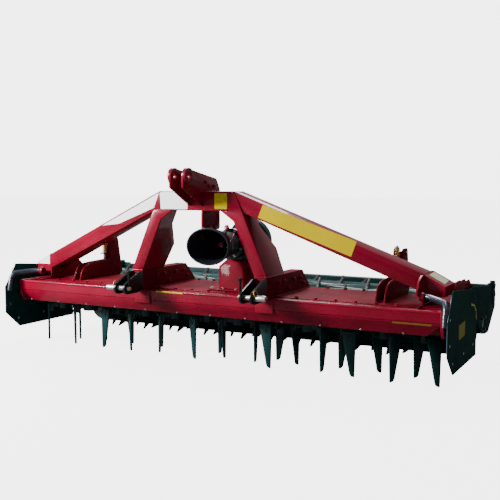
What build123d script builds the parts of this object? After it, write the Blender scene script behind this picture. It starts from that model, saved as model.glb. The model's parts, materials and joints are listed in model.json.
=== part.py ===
from build123d import *
import os
from math import atan2, cos, degrees, radians, sin

os.makedirs("parts", exist_ok=True)

# X runs across the working width, Y rearwards and Z up, all in millimetres.
# Sizes are set out from the front face of the trough's beam, at Y = 0, and from the ground
# under the tine tips, at Z = 0. The pieces are written about the middle of the machine's
# length, so that the origin lies on the ground below the centre of its outline.

# Rotors
rotor_count = 12
rotor_pitch = 250
tip_clearance = 7
# angle of each rotor's blades at rest, in degrees, from the left-hand rotor to the right
rotor_turn = (27, 62, 61, 61, 26, 79, 175, 107, 150, 135, 120, 144)

# Gear trough, its beam, lid and ends
trough_bottom = 325
trough_fold = 402
trough_top = 470
trough_depth = 560
trough_slope = 31
trough_end_margin = 20
trough_corner = 80
rear_flange = 40
rear_flange_wall = 10
beam_depth = 60
beam_wall = 6
lid_thickness = 6
lid_margin = 12
lid_setback = 12
end_depth = 20
end_wall = 8
end_rim = 8
housing_height = 32
housing_flange = 10
housing_radius = 62
housing_flange_radius = 85
housing_faces = 12
shaft_faces = 16

# Tine carriers and tines
running_gap = 5
shaft_radius = 30
shaft_fit = 0.3
carrier_height = 46
carrier_width = 64
carrier_hub_radius = 52
carrier_bar_height = 32
shaft_top_gap = 2
lug_width = 70
lug_thickness = 26
lug_height = 60
blade_sink = 4
blade_thickness = 15
blade_top_width = 82
blade_tip_width = 30
blade_straight = 34
blade_shoulder = 252
blade_cut = 20

# Headstock
mast_front = -57
mast_rise = 336
mast_bar = 120
mast_bar_half = 272
foot_top = 606
foot_outer = 494
foot_width = 85
foot_rear_top = 467
plate_wall = 10
leg_rear_top = 105
leg_rear_knee = 217
leg_knee_height = 765
leg_step_drop = 94
leg_rear_foot = 193
mast_gusset = 62

# Top link bracket
cheek_gap = 76
cheek_wall = 12
link_bore_radius = 16.2
link_y = -228
link_rise = 91
boss_radius = 50
boss_depth = 12
cheek_rear = 155
throat_depth = 68
throat_height = 29
nose_length = 30
nose_drop = 8
tongue_drop = 125
tongue_notch = 38
corner_cut = 14
cheek_rear_drop = 12
tie_height = 36
tie_drop = 14
bar_fit = 0.3

# Lower link forks
lower_pin_y = -217
lower_pin_z = 504
ear_radius = 38
ear_wall = 14
ear_root_low = 478
ear_root_high = 598
ear_nose = 60
pin_radius = 14
pin_head = 14
stub_radius = 18.3
stub_length = 78
stub_chamfer = 3
pin_fit = 0.3
pin_face_count = 16
doubler_wall = 10
doubler_half = 60
doubler_bottom = 382

# Braces and their end boxes
knee_inset = 139
knee_top = 655
knee_front = 150
knee_rear = 330
brace_height = 106
brace_front_offset = 11
brace_rear_offset = 14
brace_rise = 25
brace_overrun = 60
end_box_inset = 14
end_box_top = 590
end_box_low = 530
end_box_rear = 372
web_wall = 10
web_front = 36
web_shoulder = 131
web_shoulder_height = 573
web_rear = 465
web_rear_height = 561
web_rear_top = 425
web_rear_top_height = 620
web_top_drop = 5
web_bulge = 8
web_fit = 2.5

# Side plates and their bent tubes
tube_radius = 17.5
tube_y = 75
tube_z = 538
tube_bend = 45
tube_front_y = -52
tube_drop = 12
tube_end_y = -84
tube_end_z = 400
sleeve_wall = 8
sleeve_length = 30
sleeve_faces = 16
plate_thickness = 8
plate_front = -105
plate_nose_top = 430
plate_nose_low = 243
plate_low_front = 30
plate_crest = 0
plate_shoulder = -30
plate_shoulder_height = 527
plate_low = 124
plate_rear = 614
plate_top = 587
plate_rear_top = 543
plate_rear_slope = 134
plate_corner = 40

# Drive
gearbox_lift = 105
gearbox_front = 155
gearbox_length = 300
gearbox_radius = 98
cover_radius = 151
cover_depth = 60
pedestal_base_half = 150
pedestal_base = 14
pedestal_half_width = 112
pedestal_half_depth = 108
pedestal_shoulder = 626
pedestal_rise = 52
pedestal_corner = 30
neck_half_width = 62
neck_half_depth = 80
guard_half_width = 147
guard_half_height = 110
guard_front = -130
guard_middle_width = 118
guard_middle_height = 98
guard_middle = -40
guard_rear_radius = 76
guard_wall = 4
guard_faces = 32
nose_radius = 58
nose_reach = 30
collar_radius = 23.5
stub_end_y = 36
spline_radius = 17.5
spline_teeth = 6
spline_depth = 2.5
spline_width = 8.5

# Levelling board, its brackets and spindles
leveller_inset = 390
leveller_gap = 44
leveller_wall = 10
leveller_front = 140
leveller_post_front = 482
leveller_post_rear = 584
leveller_height = 765
leveller_rear = 632
leveller_rear_height = 496
leveller_arch = 601
leveller_arch_drop = 36
arch_points = (
    # behind the front edge, share of the drop
    (17, 2),
    (43, 1),
    (98, 1 / 3),
    (155, 1 / 6),
)
spindle_radius = 9
spindle_reach = 22
spring_radius = 16
spring_faces = 12
spring_gap = 8
spring_seat = 650
nut_radius = 16
nut_height = 12
tab_wall = 8
hanger_wall = 16
hanger_pin_radius = 10
hanger_pin_y = 604
hanger_pin_z = 524
hanger_lug = 14
hanger_gap = 5
board_height = 150
board_wall = 12
board_low = 215
board_lip = 40
board_inset = 80

# Roller and its frame
roller_y = 930
roller_radius = 262
drum_radius = 218
drum_wall = 8
drum_inset = 30
drum_recess = 26
ring_pitch = 70
claw_count = 4
claw_wall = 16
claw_root = 3
claw_hook = 4
claw_slope = 27
claw_advance = 34
axle_radius = 25
axle_boss = 30
bearing_half = 58
bearing_depth = 22
arm_wall = 15
arm_gap = 8
arm_pivot_y = 180
arm_pivot_z = 400
arm_eye_radius = 58
pivot_boss = 12
pivot_pin_radius = 20
pivot_pin_reach = 3
arm_top_z = 536
arm_rest_half = 50
arm_post_front = 1136
arm_post_front_top = 504
arm_post_top = 481
arm_post_low = 321
arm_tail = 81
arm_belly = (
    # behind the axle, above the axle
    (191, -85),
    (76, -80),
    (-35, -61),
    (-230, 68),
)
scraper_tube = 70
scraper_tube_setback = 35
scraper_tube_z = 442
scraper_wall = 7
scraper_gap = 6
scraper_angle = 20
scraper_foot = 34
stop_pin_radius = 12
stop_pin_y = 600

# Depth quadrants: three bumps along the top of each
quadrant_front = 240
quadrant_rear = 690
quadrant_notch = 16
quadrant_bumps = (
    # front, rear, top
    (290, 372, 606),
    (418, 496, 600),
    (540, 622, 584),
)

# Places that follow from the sizes above
tip_radius = rotor_pitch / 2 - tip_clearance
trough_half = rotor_pitch * rotor_count / 2 + trough_end_margin
rotor_y = trough_depth / 2
rotor_x = [rotor_pitch * (i - (rotor_count - 1) / 2) for i in range(rotor_count)]
drive_x = rotor_x[rotor_count // 2]
lid_top = trough_top + lid_thickness
lid_front = beam_depth + lid_setback
lid_rear = trough_depth + rear_flange
knee_x = trough_half - knee_inset
end_box_x = trough_half - end_box_inset
leveller_x = trough_half - leveller_inset
board_half = trough_half - board_inset
drum_half = trough_half - drum_inset
end_x = trough_half + end_depth
arm_x = end_x + arm_gap
tube_x = end_x + running_gap + tube_radius
plate_x = tube_x + tube_radius
pedestal_top = pedestal_shoulder + pedestal_rise
gearbox_z = pedestal_top + gearbox_lift
mast_top = gearbox_z + mast_rise
leg_slope = (foot_outer - mast_bar_half) / (mast_top - foot_top)
bar_bottom = mast_top - mast_bar
tongue_bottom = bar_bottom - tongue_drop
leg_step_height = bar_bottom - leg_step_drop
bar_rear = mast_front + mast_bar
leg_top_outer = mast_bar_half + mast_bar * leg_slope
housing_bottom = trough_bottom - housing_height
carrier_top = housing_bottom - running_gap
carrier_bottom = carrier_top - carrier_height
blade_radius = (tip_radius**2 - blade_straight**2) ** 0.5
blade_top = carrier_top - blade_sink
link_z = mast_top + link_rise
gearbox_rear = gearbox_front + gearbox_length
board_y = lid_rear + hanger_gap + hanger_wall + board_wall / 2
scraper_tube_y = roller_y + roller_radius + scraper_tube_setback + scraper_tube / 2
arm_rear = scraper_tube_y + arm_tail
outline_middle = (link_y - boss_radius + arm_rear) / 2


def store(part, name):
    """Write one finished piece under its own name."""
    placed = part.moved(Location((0, -outline_middle, 0)))
    placed.label = name
    export_step(placed, f"parts/{name}.step")


def store_pair(part, name):
    """Write a right-hand piece and its mirror image on the left."""
    store(part, f"{name}_right")
    store(part.mirror(Plane.YZ), f"{name}_left")


def store_both(part, name):
    """Write a right-hand piece and its mirror image as two solids of one node."""
    with BuildPart() as both:
        add(part)
        mirror(about=Plane.YZ)
    store(both.part, name)


def cut_from_plate(outline, x, wall):
    """A plate that stands lengthwise, cut to an outline of (y, z) points."""
    with BuildPart() as plate:
        with BuildSketch(Plane.YZ.offset(x)):
            with BuildLine():
                Polyline(*outline, close=True)
            make_face()
        extrude(amount=wall)
    return plate.part


# Gear trough: a closed steel casing with sloping lower walls
trough_section = (
    (trough_slope, trough_bottom),
    (0, trough_fold),
    (beam_depth, trough_fold),
    (beam_depth, trough_top),
    (lid_rear, trough_top),
    (lid_rear, trough_top - rear_flange_wall),
    (trough_depth, trough_top - rear_flange_wall),
    (trough_depth, trough_fold),
    (trough_depth - trough_slope, trough_bottom),
)
with BuildPart() as trough_body:
    with BuildSketch(Plane.YZ.offset(-trough_half)):
        with BuildLine():
            Polyline(*trough_section, close=True)
        make_face()
    extrude(amount=2 * trough_half)
    with BuildSketch(Plane.XZ):
        for side in (-1, 1):
            with BuildLine():
                Polyline(
                    (side * trough_half, trough_bottom),
                    (side * (trough_half - trough_corner), trough_bottom),
                    (side * trough_half, trough_bottom + trough_corner * 0.8),
                    close=True,
                )
            make_face()
    extrude(amount=-trough_corner, mode=Mode.SUBTRACT)
store(trough_body.part, "trough_body")

# Front beam: rectangular tube along the trough's upper front edge
beam_height = trough_top - trough_fold
with BuildPart() as front_beam:
    with BuildSketch(Plane.YZ.offset(-trough_half)):
        with Locations((beam_depth / 2, trough_fold + beam_height / 2)):
            RectangleRounded(beam_depth, beam_height, beam_wall)
            Rectangle(beam_depth - 2 * beam_wall, beam_height - 2 * beam_wall, mode=Mode.SUBTRACT)
    extrude(amount=2 * trough_half)
store(front_beam.part, "front_beam")

# Lid: a flat plate bolted on the trough, from behind the beam to the rear flange's edge
with BuildPart() as trough_lid:
    with Locations((0, lid_front, trough_top)):
        Box(
            2 * (trough_half - lid_margin),
            lid_rear - lid_front,
            lid_thickness,
            align=(Align.CENTER, Align.MIN, Align.MIN),
        )
store(trough_lid.part, "trough_lid")

# End plates: shallow pans that close the trough, rims turned outwards
end_outline = (
    (trough_slope - end_rim, trough_bottom - end_rim / 2),
    (-end_rim, trough_fold - 2 * end_rim),
    (-end_rim, trough_top + end_rim / 2),
    (lid_rear, trough_top + end_rim / 2),
    (lid_rear, trough_top - 2 * rear_flange_wall),
    (trough_depth + end_rim, trough_fold - 2 * end_rim),
    (trough_depth - trough_slope + end_rim, trough_bottom - end_rim / 2),
)
with BuildPart() as end_plate:
    with BuildSketch(Plane.YZ.offset(trough_half)):
        with BuildLine():
            Polyline(*end_outline, close=True)
        make_face()
    extrude(amount=end_depth)
    with BuildSketch(Plane.YZ.offset(trough_half + end_wall)):
        with BuildLine():
            Polyline(*end_outline, close=True)
        make_face()
        offset(amount=-end_wall, mode=Mode.REPLACE)
    extrude(amount=end_depth - end_wall, mode=Mode.SUBTRACT)
    with BuildSketch(Plane.YZ.offset(trough_half + end_wall)):
        with Locations((arm_pivot_y, arm_pivot_z)):
            RegularPolygon(pivot_pin_radius + pivot_boss, pin_face_count)
    extrude(amount=end_depth - end_wall)
    with BuildSketch(Plane.YZ.offset(end_x)):
        with Locations((arm_pivot_y, arm_pivot_z)):
            Circle(pivot_pin_radius)
    extrude(amount=arm_gap + arm_wall + pivot_pin_reach)
store_both(end_plate.part, "trough_ends")

# Bearing housings: one flanged housing under the trough for each rotor
with BuildPart() as bearing_housings:
    for radius, height in (
        (housing_flange_radius, housing_flange),
        (housing_radius, housing_height),
    ):
        with BuildSketch(Plane.XY.offset(trough_bottom)):
            with Locations(*[(x, rotor_y) for x in rotor_x]):
                RegularPolygon(radius, housing_faces)
                RegularPolygon(
                    shaft_radius + shaft_fit,
                    shaft_faces,
                    major_radius=False,
                    mode=Mode.SUBTRACT,
                )
        extrude(amount=-height)
store(bearing_housings.part, "bearing_housings")


def build_carrier():
    """Tine carrier at the origin, blades along X: hub, cross bar, two lugs and shaft stub."""
    with BuildPart() as carrier:
        with BuildSketch(Plane.XY.offset(carrier_top)):
            RegularPolygon(carrier_hub_radius, housing_faces)
        extrude(amount=-carrier_height)
        with BuildSketch(Plane.XY.offset(carrier_top)):
            RegularPolygon(shaft_radius, shaft_faces)
        extrude(amount=trough_bottom - carrier_top - shaft_top_gap)
        with Locations((0, 0, carrier_top)):
            Box(
                2 * (blade_radius - blade_thickness / 2),
                carrier_width,
                carrier_bar_height,
                align=(Align.CENTER, Align.CENTER, Align.MAX),
            )
        lug_x = blade_radius - (blade_thickness + lug_thickness) / 2
        with Locations((-lug_x, 0, carrier_top), (lug_x, 0, carrier_top)):
            Box(
                lug_thickness,
                lug_width,
                lug_height,
                align=(Align.CENTER, Align.CENTER, Align.MAX),
            )
    return carrier.part


def build_tines(hand):
    """Two knife tines set across the carrier; hand is the side of the straight edge."""
    half = blade_top_width / 2
    with BuildPart() as tines:
        for end in (-1, 1):
            side = hand * end
            with BuildSketch(Plane.YZ.offset(end * blade_radius - blade_thickness / 2)):
                with BuildLine():
                    Polyline(
                        (side * half, blade_top),
                        (-side * half, blade_top),
                        (-side * half, blade_shoulder),
                        (side * (blade_straight - blade_tip_width), blade_cut),
                        (side * (blade_straight - blade_tip_width * 0.7), blade_cut * 0.3),
                        (side * blade_straight, 0),
                        (side * half, blade_shoulder),
                        close=True,
                    )
                make_face()
            extrude(amount=blade_thickness)
    return tines.part


# Rotors: neighbours turn opposite ways, so their tines are of opposite hand
carrier_form = build_carrier()
tine_forms = {hand: build_tines(hand) for hand in (-1, 1)}
for number, (x, turn) in enumerate(zip(rotor_x, rotor_turn), start=1):
    hand = 1 if number % 2 == 0 else -1
    lead = degrees(atan2(blade_straight, blade_radius)) * hand
    place = Location((x, rotor_y, 0), (0, 0, turn - lead))
    store(carrier_form.moved(place), f"rotor_{number:02d}")
    store(tine_forms[hand].moved(place), f"tines_{number:02d}")

# Headstock crossbar: square box, its ends cut in line with the legs
with BuildPart() as crossbar:
    with BuildSketch(Plane.XZ.offset(-mast_front)):
        with BuildLine():
            Polyline(
                (-mast_bar_half, mast_top),
                (mast_bar_half, mast_top),
                (leg_top_outer, bar_bottom),
                (-leg_top_outer, bar_bottom),
                close=True,
            )
        make_face()
    extrude(amount=-mast_bar)
store(crossbar.part, "headstock_crossbar")

# Headstock legs: open-backed channels that spread towards the feet
foot_inner = foot_outer - foot_width
leg_top_inner = leg_top_outer - foot_width
leg_reach = leg_rear_knee - mast_front
leg_outline = (
    (mast_front, foot_top),
    (leg_rear_foot, foot_top),
    (leg_rear_knee, leg_knee_height),
    (leg_rear_top, leg_step_height),
    (leg_rear_top, bar_bottom),
    (mast_front, bar_bottom),
)


def leg_strip(low, high, depth):
    """A slanted strip of the leg between two X values at its top, reaching back by depth."""
    with BuildPart() as strip:
        with BuildSketch(Plane.XZ.offset(-mast_front)):
            with BuildLine():
                Polyline(
                    (low, bar_bottom),
                    (high, bar_bottom),
                    (high + leg_shift, foot_top),
                    (low + leg_shift, foot_top),
                    close=True,
                )
            make_face()
        extrude(amount=-depth)
    return strip.part


leg_shift = foot_outer - leg_top_outer
with BuildPart() as leg:
    add(leg_strip(leg_top_inner, leg_top_inner + plate_wall, leg_reach))
    add(leg_strip(leg_top_outer - plate_wall, leg_top_outer, leg_reach))
    add(leg_strip(leg_top_inner, leg_top_outer, plate_wall))
    with BuildSketch(Plane.YZ):
        with BuildLine():
            Polyline(*leg_outline, close=True)
        make_face()
    extrude(amount=2 * foot_outer, mode=Mode.INTERSECT)
    with BuildSketch(Plane.XZ.offset(-mast_front)):
        with BuildLine():
            Polyline(
                (leg_top_inner, bar_bottom),
                (leg_top_inner - mast_gusset, bar_bottom),
                (leg_top_inner + mast_gusset * leg_slope, bar_bottom - mast_gusset),
                close=True,
            )
        make_face()
    extrude(amount=-plate_wall)
store_pair(leg.part, "headstock_leg")

# Feet: box channels across the trough that carry the legs and the lower link forks
foot_outline = (
    (mast_front, trough_top),
    (lid_front, trough_top),
    (lid_front, lid_top),
    (lid_rear, lid_top),
    (foot_rear_top, foot_top),
    (mast_front, foot_top),
)
with BuildPart() as foot:
    with BuildSketch(Plane.YZ.offset(foot_inner)):
        with BuildLine():
            Polyline(*foot_outline, close=True)
        make_face()
    extrude(amount=foot_width)
    with Locations(((foot_inner + foot_outer) / 2, mast_front + plate_wall, trough_top)):
        Box(
            foot_width - 2 * plate_wall,
            lid_rear - mast_front,
            foot_top - trough_top - plate_wall,
            align=(Align.CENTER, Align.MIN, Align.MIN),
            mode=Mode.SUBTRACT,
        )
store_both(foot.part, "headstock_feet")

# Doublers: plates welded on the beam's face under the feet
foot_middle = (foot_inner + foot_outer) / 2
with BuildPart() as doubler:
    with Locations((foot_middle, 0, doubler_bottom)):
        Box(
            2 * doubler_half,
            doubler_wall,
            trough_top - doubler_bottom,
            align=(Align.CENTER, Align.MAX, Align.MIN),
        )
    with Locations((foot_middle, 0, doubler_bottom)):
        Box(
            2 * doubler_half,
            trough_slope,
            trough_fold - doubler_bottom,
            align=(Align.CENTER, Align.MIN, Align.MIN),
        )
    with BuildSketch(Plane.YZ.offset(foot_middle - doubler_half)):
        with BuildLine():
            Polyline(*trough_section, close=True)
        make_face()
    extrude(amount=2 * doubler_half, mode=Mode.SUBTRACT)
store_both(doubler.part, "beam_doublers")

# Top link bracket: two cheeks let over the crossbar, joined by a tie plate under the throat.
# The right-hand cheek alone reaches down behind the bar in a notched tongue.
throat = (link_y - boss_radius, link_z - throat_depth)
cheek_top = (
    (cheek_rear, mast_top + corner_cut),
    (cheek_rear - 3 * corner_cut, link_z - cheek_rear_drop),
    (link_y + nose_length, link_z + boss_radius - nose_drop),
    (link_y, link_z + boss_radius),
    (link_y - boss_radius, link_z),
    throat,
    (mast_front, bar_bottom + throat_height),
)
tongue_middle = (mast_front + cheek_rear) / 2
cheek_low = {
    -1: (
        (mast_front, bar_bottom),
        (cheek_rear, bar_bottom),
    ),
    1: (
        (mast_front, tongue_bottom + corner_cut),
        (mast_front + corner_cut, tongue_bottom),
        (tongue_middle - corner_cut, tongue_bottom),
        (tongue_middle, tongue_bottom + tongue_notch),
        (tongue_middle + corner_cut, tongue_bottom),
        (cheek_rear - corner_cut, tongue_bottom),
        (cheek_rear, tongue_bottom + corner_cut),
    ),
}
with BuildPart() as top_link_bracket:
    for side, low in cheek_low.items():
        inner = side * cheek_gap / 2
        with BuildSketch(Plane.YZ.offset(inner)):
            with BuildLine():
                Polyline(*cheek_top, *low, close=True)
            make_face()
        extrude(amount=side * cheek_wall)
        with BuildSketch(Plane.YZ.offset(inner)):
            with Locations((link_y, link_z)):
                Circle(boss_radius)
        extrude(amount=side * (cheek_wall + boss_depth))
    with Locations((0, cheek_rear, mast_top + corner_cut - tie_drop)):
        Box(cheek_gap, plate_wall, tie_height, align=(Align.CENTER, Align.MAX, Align.MAX))
    with Locations((0, mast_front + mast_bar / 2, bar_bottom + mast_bar / 2)):
        Box(
            2 * (cheek_gap + cheek_wall),
            mast_bar + 2 * bar_fit,
            mast_bar + 2 * bar_fit,
            mode=Mode.SUBTRACT,
        )
    with BuildSketch(Plane.YZ.offset(-cheek_gap)):
        with Locations((link_y, link_z)):
            Circle(link_bore_radius)
    extrude(amount=2 * cheek_gap, mode=Mode.SUBTRACT)
store(top_link_bracket.part, "top_link_bracket")

# Lower link forks: two ears in front of each foot, drilled for the hitch pin
ear_outline = (
    (mast_front, ear_root_low),
    (mast_front, ear_root_high),
    (mast_front - ear_radius, ear_root_high),
    (lower_pin_y - ear_radius * sin(radians(30)), lower_pin_z + ear_radius * cos(radians(30))),
    (lower_pin_y, lower_pin_z - ear_radius),
    (mast_front - ear_nose, lower_pin_z - ear_radius),
)
with BuildPart() as fork:
    for ear_x in (foot_inner, foot_outer - ear_wall):
        with BuildSketch(Plane.YZ.offset(ear_x)):
            with BuildLine():
                Polyline(*ear_outline, close=True)
            make_face()
            with Locations((lower_pin_y, lower_pin_z)):
                RegularPolygon(ear_radius, pin_face_count)
                RegularPolygon(
                    pin_radius + pin_fit,
                    pin_face_count,
                    major_radius=False,
                    mode=Mode.SUBTRACT,
                )
        extrude(amount=ear_wall)
store_both(fork.part, "hitch_forks")

# Hitch pins: through both ears, with a thicker stub outside for the lower link's ball
with BuildPart() as hitch_pin:
    with BuildSketch(Plane.YZ.offset(foot_inner - pin_head)):
        with Locations((lower_pin_y, lower_pin_z)):
            Circle(pin_radius)
    extrude(amount=foot_width + pin_head)
    with BuildSketch(Plane.YZ.offset(foot_outer)):
        with Locations((lower_pin_y, lower_pin_z)):
            Circle(stub_radius)
    extrude(amount=stub_length)
    chamfer(hitch_pin.faces().sort_by(Axis.X)[-1].edges(), stub_chamfer)
store_both(hitch_pin.part, "hitch_pins")

# Braces: tapered boxes from the crossbar's ends down to the trough's ends
leg_plane = Plane(
    origin=(foot_outer, 0, foot_top),
    x_dir=(0, 1, 0),
    z_dir=(1, 0, leg_slope),
)
brace_sections = (
    # distance from the middle, front, rear, top
    (
        mast_bar_half - brace_overrun,
        mast_front - brace_front_offset,
        bar_rear - brace_rear_offset,
        mast_top + brace_rise,
    ),
    (knee_x, knee_front, knee_rear, knee_top),
)
with BuildPart() as brace:
    for x, front, rear, top in brace_sections:
        with BuildSketch(Plane.YZ.offset(x)):
            with Locations(((front + rear) / 2, top - brace_height / 2)):
                Rectangle(rear - front, brace_height)
    loft(ruled=True)
    split(bisect_by=leg_plane, keep=Keep.TOP)
store_pair(brace.part, "brace")

# End boxes: the braces' outer ends, bent down over the trough's ends, on webs that clasp
# the brace from below
end_box_outline = (
    (knee_x, knee_top),
    (end_box_x, end_box_top),
    (end_box_x, end_box_low),
    (knee_x, end_box_low),
)
web_outline = (
    (web_front, lid_top),
    (web_front, web_shoulder_height),
    ((2 * web_front + web_shoulder) / 3, (web_shoulder_height + knee_top) / 2 + web_bulge),
    (web_shoulder, knee_top - web_top_drop),
    (knee_front - web_fit, knee_top - web_top_drop),
    (knee_front - web_fit, knee_top - brace_height),
    (knee_rear, knee_top - brace_height),
    (knee_rear, knee_top - web_top_drop),
    (web_rear_top, web_rear_top_height),
    (web_rear, web_rear_height),
    (web_rear, lid_top),
)
with BuildPart() as end_box:
    with BuildSketch(Plane.XZ.offset(-knee_front)):
        with BuildLine():
            Polyline(*end_box_outline, close=True)
        make_face()
    extrude(amount=-(end_box_rear - knee_front))
    add(cut_from_plate(web_outline, knee_x - web_wall, web_wall))
store_both(end_box.part, "brace_end_boxes")

# Sleeves: short pipes beside the webs, in which the side plates' tubes turn
with BuildPart() as sleeve:
    with BuildSketch(Plane.YZ.offset(knee_x)):
        with Locations((tube_y, tube_z)):
            RegularPolygon(tube_radius + sleeve_wall, sleeve_faces)
            RegularPolygon(
                tube_radius + shaft_fit,
                sleeve_faces,
                major_radius=False,
                mode=Mode.SUBTRACT,
            )
    extrude(amount=sleeve_length)
store_both(sleeve.part, "tube_sleeves")

# Side plates: stiff sheets outside the trough that keep the soil in
plate_outline = (
    (plate_shoulder, plate_shoulder_height),
    (plate_front, plate_nose_top),
    (plate_front, plate_nose_low),
    (plate_low_front, plate_low),
    (plate_rear, plate_low),
    (plate_rear, plate_rear_top - 2 * plate_corner),
    (plate_rear - plate_corner, plate_rear_top - plate_corner / 2),
    (plate_rear - plate_rear_slope, plate_rear_top),
    (plate_low_front, plate_top),
    (plate_crest, plate_top),
)
with BuildPart() as side_plate:
    with BuildSketch(Plane.YZ.offset(plate_x)):
        with BuildLine():
            Polyline(*plate_outline, close=True)
        make_face()
    extrude(amount=plate_thickness)
store_pair(side_plate.part, "side_plate")

# Side plate tubes: bent arms that turn in the sleeves and run down the plates' front edges
tube_route = (
    (knee_x, tube_y, tube_z),
    (knee_x + sleeve_length + tube_bend / 2, tube_y, tube_z),
    (knee_x + sleeve_length + 1.6 * tube_bend, tube_y - tube_bend, tube_z - tube_drop / 3),
    (tube_x - tube_bend / 4, tube_front_y + tube_bend / 3, tube_z - tube_drop),
    (tube_x, tube_front_y - tube_bend / 4, tube_z - tube_bend),
    (tube_x, tube_end_y, tube_end_z),
)
with BuildPart() as side_tube:
    with BuildLine():
        Polyline(*tube_route)
    with BuildSketch(Plane.YZ.offset(knee_x)):
        with Locations((tube_y, tube_z)):
            RegularPolygon(tube_radius, sleeve_faces)
    sweep(transition=Transition.RIGHT)
store_pair(side_tube.part, "side_tube")

# Gearbox pedestal: turret on the lid that narrows to the gearbox's neck
with BuildPart() as pedestal:
    with Locations((drive_x, rotor_y, lid_top)):
        Box(
            2 * pedestal_base_half,
            2 * pedestal_base_half,
            pedestal_base,
            align=(Align.CENTER, Align.CENTER, Align.MIN),
        )
    with BuildSketch(Plane.XY.offset(lid_top + pedestal_base)) as base:
        with Locations((drive_x, rotor_y)):
            Rectangle(2 * pedestal_half_width, 2 * pedestal_half_depth)
        chamfer(base.vertices(), pedestal_corner)
    extrude(amount=pedestal_shoulder - lid_top - pedestal_base)
    for z, half_width, half_depth in (
        (pedestal_shoulder, pedestal_half_width, pedestal_half_depth),
        (pedestal_top, neck_half_width, neck_half_depth),
    ):
        with BuildSketch(Plane.XY.offset(z)) as level:
            with Locations((drive_x, rotor_y)):
                Rectangle(2 * half_width, 2 * half_depth)
            chamfer(level.vertices(), pedestal_corner)
    loft(ruled=True)
store(pedestal.part, "gearbox_pedestal")

# Gearbox: round bevel-gear housing on a neck, with a flange and a nose at the front and the
# wide cover of the change gears at the rear
gearbox_steps = (
    # front, depth, radius
    (gearbox_front, gearbox_length - cover_depth, gearbox_radius),
    (gearbox_rear - cover_depth, cover_depth, cover_radius),
    (gearbox_front - nose_reach, nose_reach, nose_radius),
)
with BuildPart() as gearbox:
    with BuildSketch(Plane.XY.offset(pedestal_top)):
        with Locations((drive_x, rotor_y)):
            Rectangle(2 * neck_half_width, 2 * neck_half_depth)
    extrude(amount=gearbox_z - pedestal_top)
    for front, depth, radius in gearbox_steps:
        with BuildSketch(Plane.XZ.offset(-front)):
            with Locations((drive_x, gearbox_z)):
                Circle(radius)
        extrude(amount=-depth)
    with BuildSketch(Plane.XZ.offset(nose_reach - gearbox_front)):
        with Locations((drive_x, gearbox_z)):
            Circle(collar_radius + shaft_fit)
    extrude(amount=-2 * nose_reach, mode=Mode.SUBTRACT)
store(gearbox.part, "gearbox")

# Input shaft: collar in the gearbox's nose and splined stub in front of it
collar_front = gearbox_front - nose_reach
with BuildPart() as pto_shaft:
    with BuildSketch(Plane.XZ.offset(-collar_front)):
        with Locations((drive_x, gearbox_z)):
            Circle(collar_radius)
    extrude(amount=-2 * nose_reach + shaft_fit)
    with BuildSketch(Plane.XZ.offset(-stub_end_y)):
        with Locations((drive_x, gearbox_z)):
            Circle(spline_radius - spline_depth)
            with PolarLocations(spline_radius - spline_depth, spline_teeth):
                Rectangle(2 * spline_depth, spline_width)
    extrude(amount=stub_end_y - collar_front)
store(pto_shaft.part, "pto_shaft")

# Shaft guard: black oval bell, open to the front, drawn in to a round foot on the nose
guard_back = gearbox_front - running_gap
guard_sections = (
    # place, half width, half height
    (guard_front, guard_half_width, guard_half_height),
    (guard_middle, guard_middle_width, guard_middle_height),
    (guard_back, guard_rear_radius, guard_rear_radius),
)


def oval(half_width, half_height):
    """Points of an oval about the input shaft's axis."""
    turns = [radians(360 * i / guard_faces) for i in range(guard_faces)]
    return [(drive_x + half_width * cos(t), gearbox_z + half_height * sin(t)) for t in turns]


def bell(inset, back):
    """The guard's bell as a solid, each section smaller by inset, its foot at back."""
    with BuildPart() as form:
        for y, half_width, half_height in guard_sections:
            with BuildSketch(Plane.XZ.offset(-min(y, back))):
                with BuildLine():
                    Polyline(*oval(half_width - inset, half_height - inset), close=True)
                make_face()
        loft(ruled=True)
    return form.part


with BuildPart() as guard:
    add(bell(0, guard_back))
    add(bell(guard_wall, guard_back - guard_wall), mode=Mode.SUBTRACT)
    with BuildSketch(Plane.XZ.offset(guard_wall - guard_back)):
        with Locations((drive_x, gearbox_z)):
            Circle(nose_radius)
    extrude(amount=-2 * guard_wall, mode=Mode.SUBTRACT)
store(guard.part, "pto_guard")

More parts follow.
